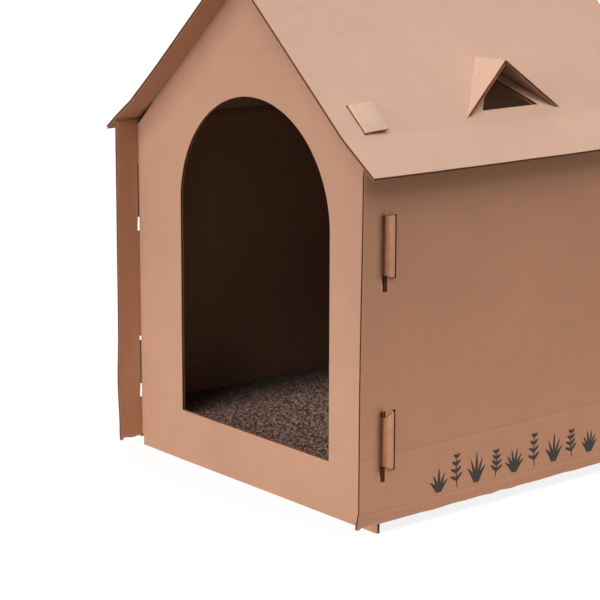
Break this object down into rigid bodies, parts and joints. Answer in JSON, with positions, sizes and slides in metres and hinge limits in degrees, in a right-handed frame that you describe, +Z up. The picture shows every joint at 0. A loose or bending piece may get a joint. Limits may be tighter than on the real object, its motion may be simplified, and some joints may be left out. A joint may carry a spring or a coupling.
{
  "type": "cardboard cat house",
  "caption": "Slot-together cardboard cat house with an arched doorway, folded gable roof, small dormer, carpeted floor and fold-over locking tabs.",
  "frame": {"origin": "on the ground, under the middle of the house", "axes": "+Z up, the doorway faces -Y, +X is the side with the dormer"},
  "size_m": [0.41, 0.44, 0.5125],
  "materials": {
    "panel_board": "matte kraft liner with faint flute lines",
    "wall_board": "matte kraft liner with faint flute lines and a small printed motif",
    "roof_board": "matte kraft liner",
    "tab_board": "matte kraft liner, pressed and creased",
    "floor_board": "matte kraft liner",
    "carpet": "brown looped pile"
  },
  "bodies": {
    "house": {"front_panel": "panel_board", "back_panel": "panel_board", "left_wall": "wall_board", "right_wall": "wall_board", "roof": "roof_board", "dormer": "roof_board", "floor_panel": "floor_board", "carpet_mat": "carpet"},
    "front_right_upper_tab": {"front_right_upper_tab": "tab_board"},
    "front_right_lower_tab": {"front_right_lower_tab": "tab_board"},
    "front_right_roof_tab": {"front_right_roof_tab": "tab_board"},
    "front_left_upper_tab": {"front_left_upper_tab": "tab_board"},
    "front_left_lower_tab": {"front_left_lower_tab": "tab_board"},
    "front_left_roof_tab": {"front_left_roof_tab": "tab_board"},
    "back_right_upper_tab": {"back_right_upper_tab": "tab_board"},
    "back_right_lower_tab": {"back_right_lower_tab": "tab_board"},
    "back_right_roof_tab": {"back_right_roof_tab": "tab_board"},
    "back_left_upper_tab": {"back_left_upper_tab": "tab_board"},
    "back_left_lower_tab": {"back_left_lower_tab": "tab_board"},
    "back_left_roof_tab": {"back_left_roof_tab": "tab_board"}
  },
  "joints": [
    {"name": "front_right_upper_hinge", "type": "hinge", "parent": "house", "child": "front_right_upper_tab", "pos_m": [0.1913, -0.1918, 0.2701], "axis": [0, 0, -1], "range_deg": [0, 90]},
    {"name": "front_right_lower_hinge", "type": "hinge", "parent": "house", "child": "front_right_lower_tab", "pos_m": [0.1913, -0.1918, 0.08871], "axis": [0, 0, -1], "range_deg": [0, 90]},
    {"name": "front_right_roof_hinge", "type": "hinge", "parent": "house", "child": "front_right_roof_tab", "pos_m": [0.15037, -0.1918, 0.3789], "axis": [0.7431, 0, -0.6691], "range_deg": [0, 86]},
    {"name": "front_left_upper_hinge", "type": "hinge", "parent": "house", "child": "front_left_upper_tab", "pos_m": [-0.1913, -0.1918, 0.2701], "axis": [0, 0, 1], "range_deg": [0, 90]},
    {"name": "front_left_lower_hinge", "type": "hinge", "parent": "house", "child": "front_left_lower_tab", "pos_m": [-0.1913, -0.1918, 0.08871], "axis": [0, 0, 1], "range_deg": [0, 90]},
    {"name": "front_left_roof_hinge", "type": "hinge", "parent": "house", "child": "front_left_roof_tab", "pos_m": [-0.15037, -0.1918, 0.3789], "axis": [0.7431, 0, 0.6691], "range_deg": [0, 86]},
    {"name": "back_right_upper_hinge", "type": "hinge", "parent": "house", "child": "back_right_upper_tab", "pos_m": [0.1913, 0.1918, 0.2701], "axis": [0, 0, 1], "range_deg": [0, 90]},
    {"name": "back_right_lower_hinge", "type": "hinge", "parent": "house", "child": "back_right_lower_tab", "pos_m": [0.1913, 0.1918, 0.08871], "axis": [0, 0, 1], "range_deg": [0, 90]},
    {"name": "back_right_roof_hinge", "type": "hinge", "parent": "house", "child": "back_right_roof_tab", "pos_m": [0.15037, 0.1918, 0.3789], "axis": [-0.7431, 0, 0.6691], "range_deg": [0, 86]},
    {"name": "back_left_upper_hinge", "type": "hinge", "parent": "house", "child": "back_left_upper_tab", "pos_m": [-0.1913, 0.1918, 0.2701], "axis": [0, 0, -1], "range_deg": [0, 90]},
    {"name": "back_left_lower_hinge", "type": "hinge", "parent": "house", "child": "back_left_lower_tab", "pos_m": [-0.1913, 0.1918, 0.08871], "axis": [0, 0, -1], "range_deg": [0, 90]},
    {"name": "back_left_roof_hinge", "type": "hinge", "parent": "house", "child": "back_left_roof_tab", "pos_m": [-0.15037, 0.1918, 0.3789], "axis": [-0.7431, 0, -0.6691], "range_deg": [0, 86]}
  ]
}
